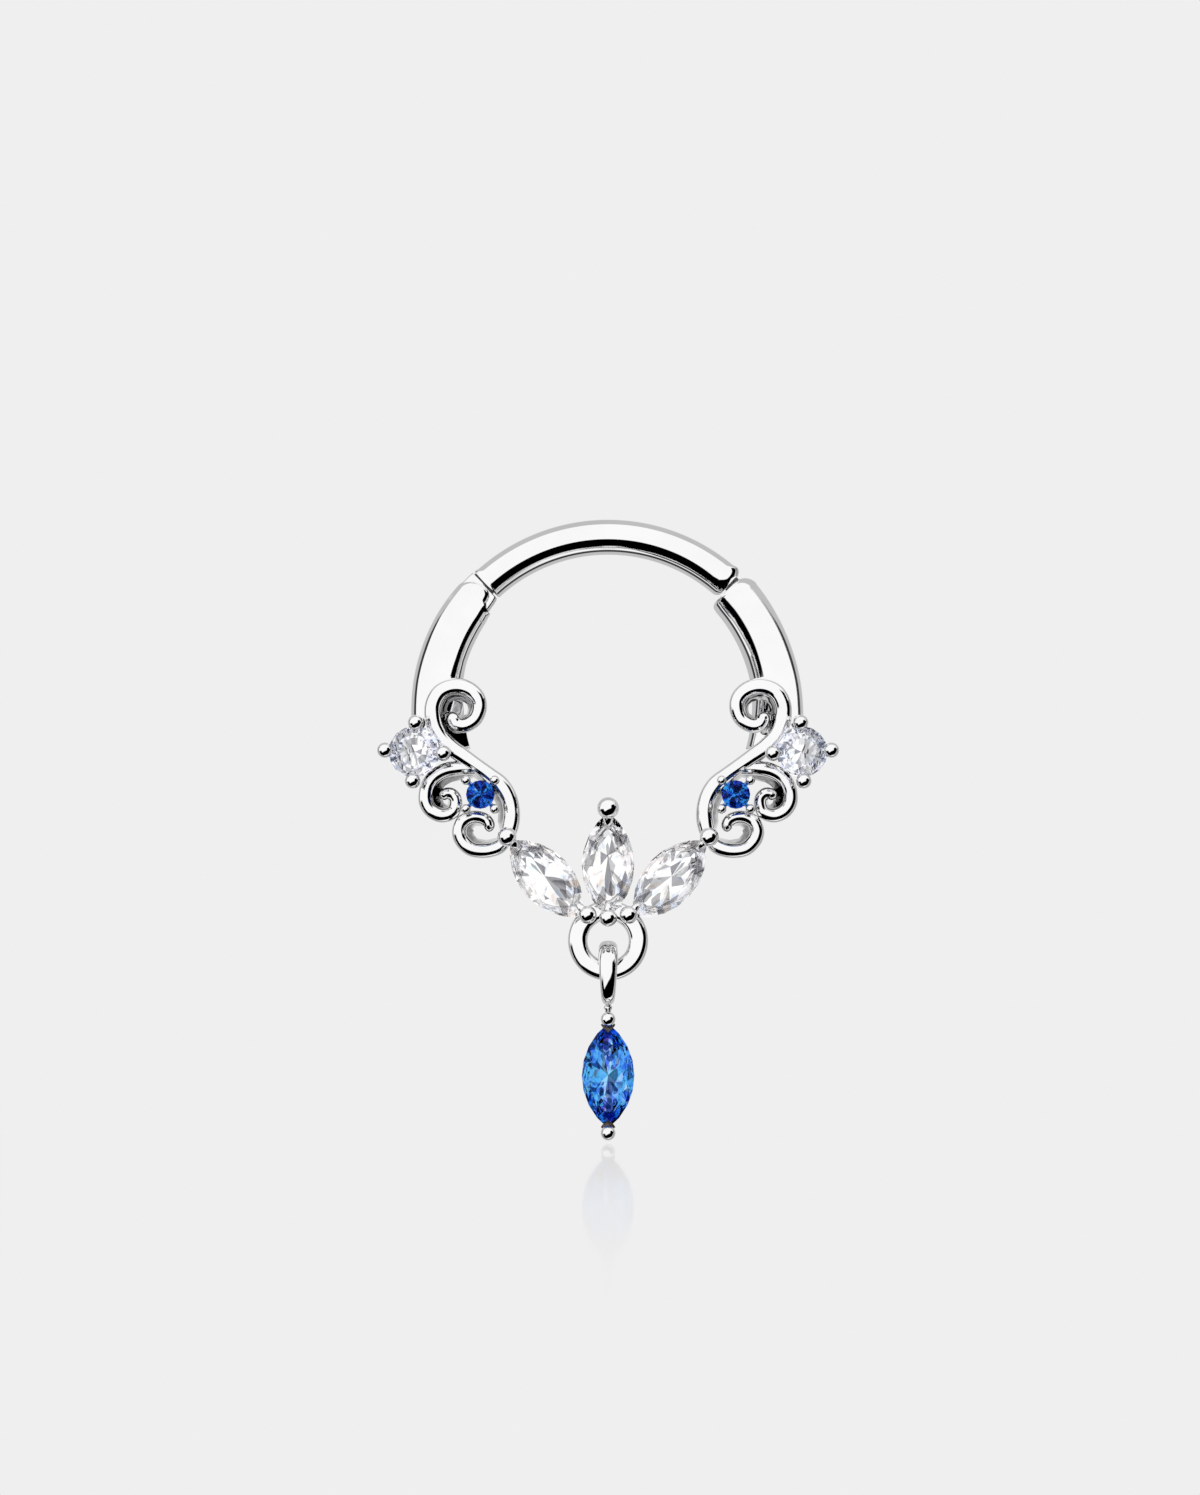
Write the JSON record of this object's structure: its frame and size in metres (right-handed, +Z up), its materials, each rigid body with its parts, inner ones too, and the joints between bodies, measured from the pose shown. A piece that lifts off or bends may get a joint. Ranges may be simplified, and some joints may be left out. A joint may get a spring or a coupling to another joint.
{
  "type": "hinged septum ring",
  "caption": "Septum ring with a hinged bar, two curved arms, scrollwork, clear and blue set stones and a swinging marquise drop.",
  "frame": {"origin": "middle of the bar's centre line, where the ring hangs from the septum", "axes": "+Z up, +X to the wearer's left along the bar at its middle, the front faces -Y"},
  "size_m": [0.0154, 0.0032, 0.0207],
  "materials": {
    "polished_steel": "mirror-polished surgical steel",
    "clear_stone": "cut and polished cubic zirconia",
    "blue_stone": "cut and polished, deep royal blue",
    "aqua_stone": "cut and polished, bright sky blue"
  },
  "bodies": {
    "frame": {"ring_frame": "polished_steel", "hinge_pin": "polished_steel", "centre_marquise": "clear_stone", "left_marquise": "clear_stone", "right_marquise": "clear_stone", "left_round_stone": "clear_stone", "right_round_stone": "clear_stone", "left_blue_stone": "blue_stone", "right_blue_stone": "blue_stone"},
    "bar": {"hinged_bar": "polished_steel"},
    "drop": {"drop_setting": "polished_steel", "drop_marquise": "aqua_stone"}
  },
  "joints": [
    {"name": "bar_hinge", "type": "hinge", "parent": "frame", "child": "bar", "pos_m": [0.00463, 0, -0.00187], "axis": [0, 1, 0], "range_deg": [0, 90]},
    {"name": "drop_swing", "type": "hinge", "parent": "frame", "child": "drop", "pos_m": [0, -0.00125, -0.01451], "axis": [1, 0, 0], "range_deg": [-90, 90]}
  ]
}
